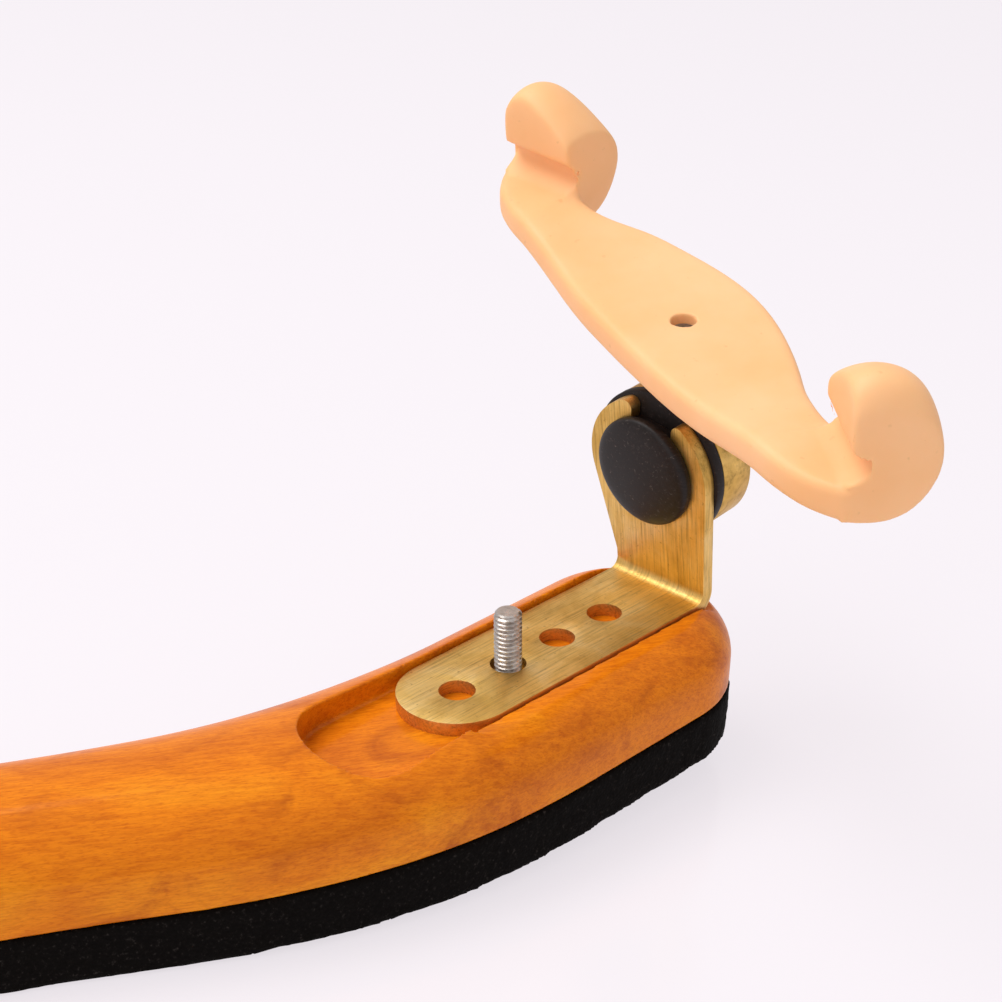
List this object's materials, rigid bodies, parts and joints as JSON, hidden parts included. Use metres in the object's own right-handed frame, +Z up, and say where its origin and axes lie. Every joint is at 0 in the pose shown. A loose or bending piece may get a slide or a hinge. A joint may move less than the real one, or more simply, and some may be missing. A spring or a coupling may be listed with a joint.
{
  "type": "violin shoulder rest",
  "caption": "S-curved varnished wooden bar with a foam pad underneath and an adjustable padded fork on a metal bracket at each end.",
  "frame": {"origin": "centre of the overall footprint on the surface the pad rests on", "axes": "+X along the bar's straight middle towards the end seen in the picture, +Z up, +Y away from the viewer"},
  "size_m": [0.2562, 0.177, 0.0904],
  "materials": {
    "wood": "amber varnished maple",
    "foam": "black closed-cell foam",
    "brass": "brushed, lightly tarnished",
    "steel": "plain stainless",
    "black_plastic": "satin moulded",
    "cream_rubber": "smooth matt moulded"
  },
  "bodies": {
    "bar": {"wood_bar": "wood", "foam_pad": "foam", "stud_a": "steel", "stud_b": "steel", "wood_insert_a": "brass", "wood_insert_b": "brass", "bracket_b": "brass", "pivot_cap_b": "black_plastic", "pivot_flange_b": "black_plastic", "pivot_screw_b": "steel", "spring_washer_b": "steel", "nut_washer_b": "brass"},
    "bracket_a": {"bracket_a": "brass", "pivot_cap_a": "black_plastic", "pivot_flange_a": "black_plastic", "pivot_screw_a": "steel", "spring_washer_a": "steel"},
    "barrel_a": {"pivot_barrel_a": "brass"},
    "stem_a": {"fork_stem_a": "steel"},
    "fork_a": {"fork_a": "cream_rubber", "fork_core_a": "steel"},
    "barrel_b": {"pivot_barrel_b": "brass"},
    "stem_b": {"fork_stem_b": "steel"},
    "fork_b": {"fork_b": "cream_rubber", "fork_core_b": "steel"},
    "nut_bush_b": {"nut_bush_b": "brass"},
    "thumb_nut_b": {"thumb_nut_b": "black_plastic"}
  },
  "joints": [
    {"name": "bracket_lift_a", "type": "slide", "parent": "bar", "child": "bracket_a", "axis": [-0.0561, -0.0324, 0.9979], "range_m": [0, 0.012]},
    {"name": "fork_fold_a", "type": "hinge", "parent": "bracket_a", "child": "barrel_a", "pos_m": [0.10675, 0.03426, 0.04395], "axis": [-0.8542, -0.4932, -0.1645], "range_deg": [-56, 64]},
    {"name": "fork_height_a", "type": "slide", "parent": "barrel_a", "child": "stem_a", "axis": [-0.1037, -0.1484, 0.9835], "range_m": [0, 0.0032]},
    {"name": "fork_swivel_a", "type": "hinge", "parent": "stem_a", "child": "fork_a", "pos_m": [0.11072, 0.03461, 0.06669], "axis": [-0.1037, -0.1484, 0.9835], "range_deg": [-0.5, 1440.5]},
    {"name": "fork_fold_b", "type": "hinge", "parent": "bar", "child": "barrel_b", "pos_m": [-0.10675, -0.03426, 0.04395], "axis": [0.8542, 0.4932, -0.1645], "range_deg": [-56, 64]},
    {"name": "fork_height_b", "type": "slide", "parent": "barrel_b", "child": "stem_b", "axis": [0.1037, 0.1484, 0.9835], "range_m": [0, 0.0032]},
    {"name": "fork_swivel_b", "type": "hinge", "parent": "stem_b", "child": "fork_b", "pos_m": [-0.11072, -0.03461, 0.06669], "axis": [0.1037, 0.1484, 0.9835], "range_deg": [-0.5, 1440.5]},
    {"name": "nut_lift_b", "type": "slide", "parent": "bar", "child": "nut_bush_b", "axis": [0.0561, 0.0324, 0.9979], "range_m": [0, 0.0028]},
    {"name": "nut_spin_b", "type": "hinge", "parent": "nut_bush_b", "child": "thumb_nut_b", "pos_m": [-0.08205, -0.01827, 0.02631], "axis": [0.0561, 0.0324, 0.9979], "range_deg": [-0.5, 1440.5]}
  ],
  "couplings": [
    {"joint": "fork_swivel_a", "follows": "fork_height_a", "rad_per_m": 7854},
    {"joint": "fork_swivel_b", "follows": "fork_height_b", "rad_per_m": 7854},
    {"joint": "nut_spin_b", "follows": "nut_lift_b", "rad_per_m": 8976}
  ]
}
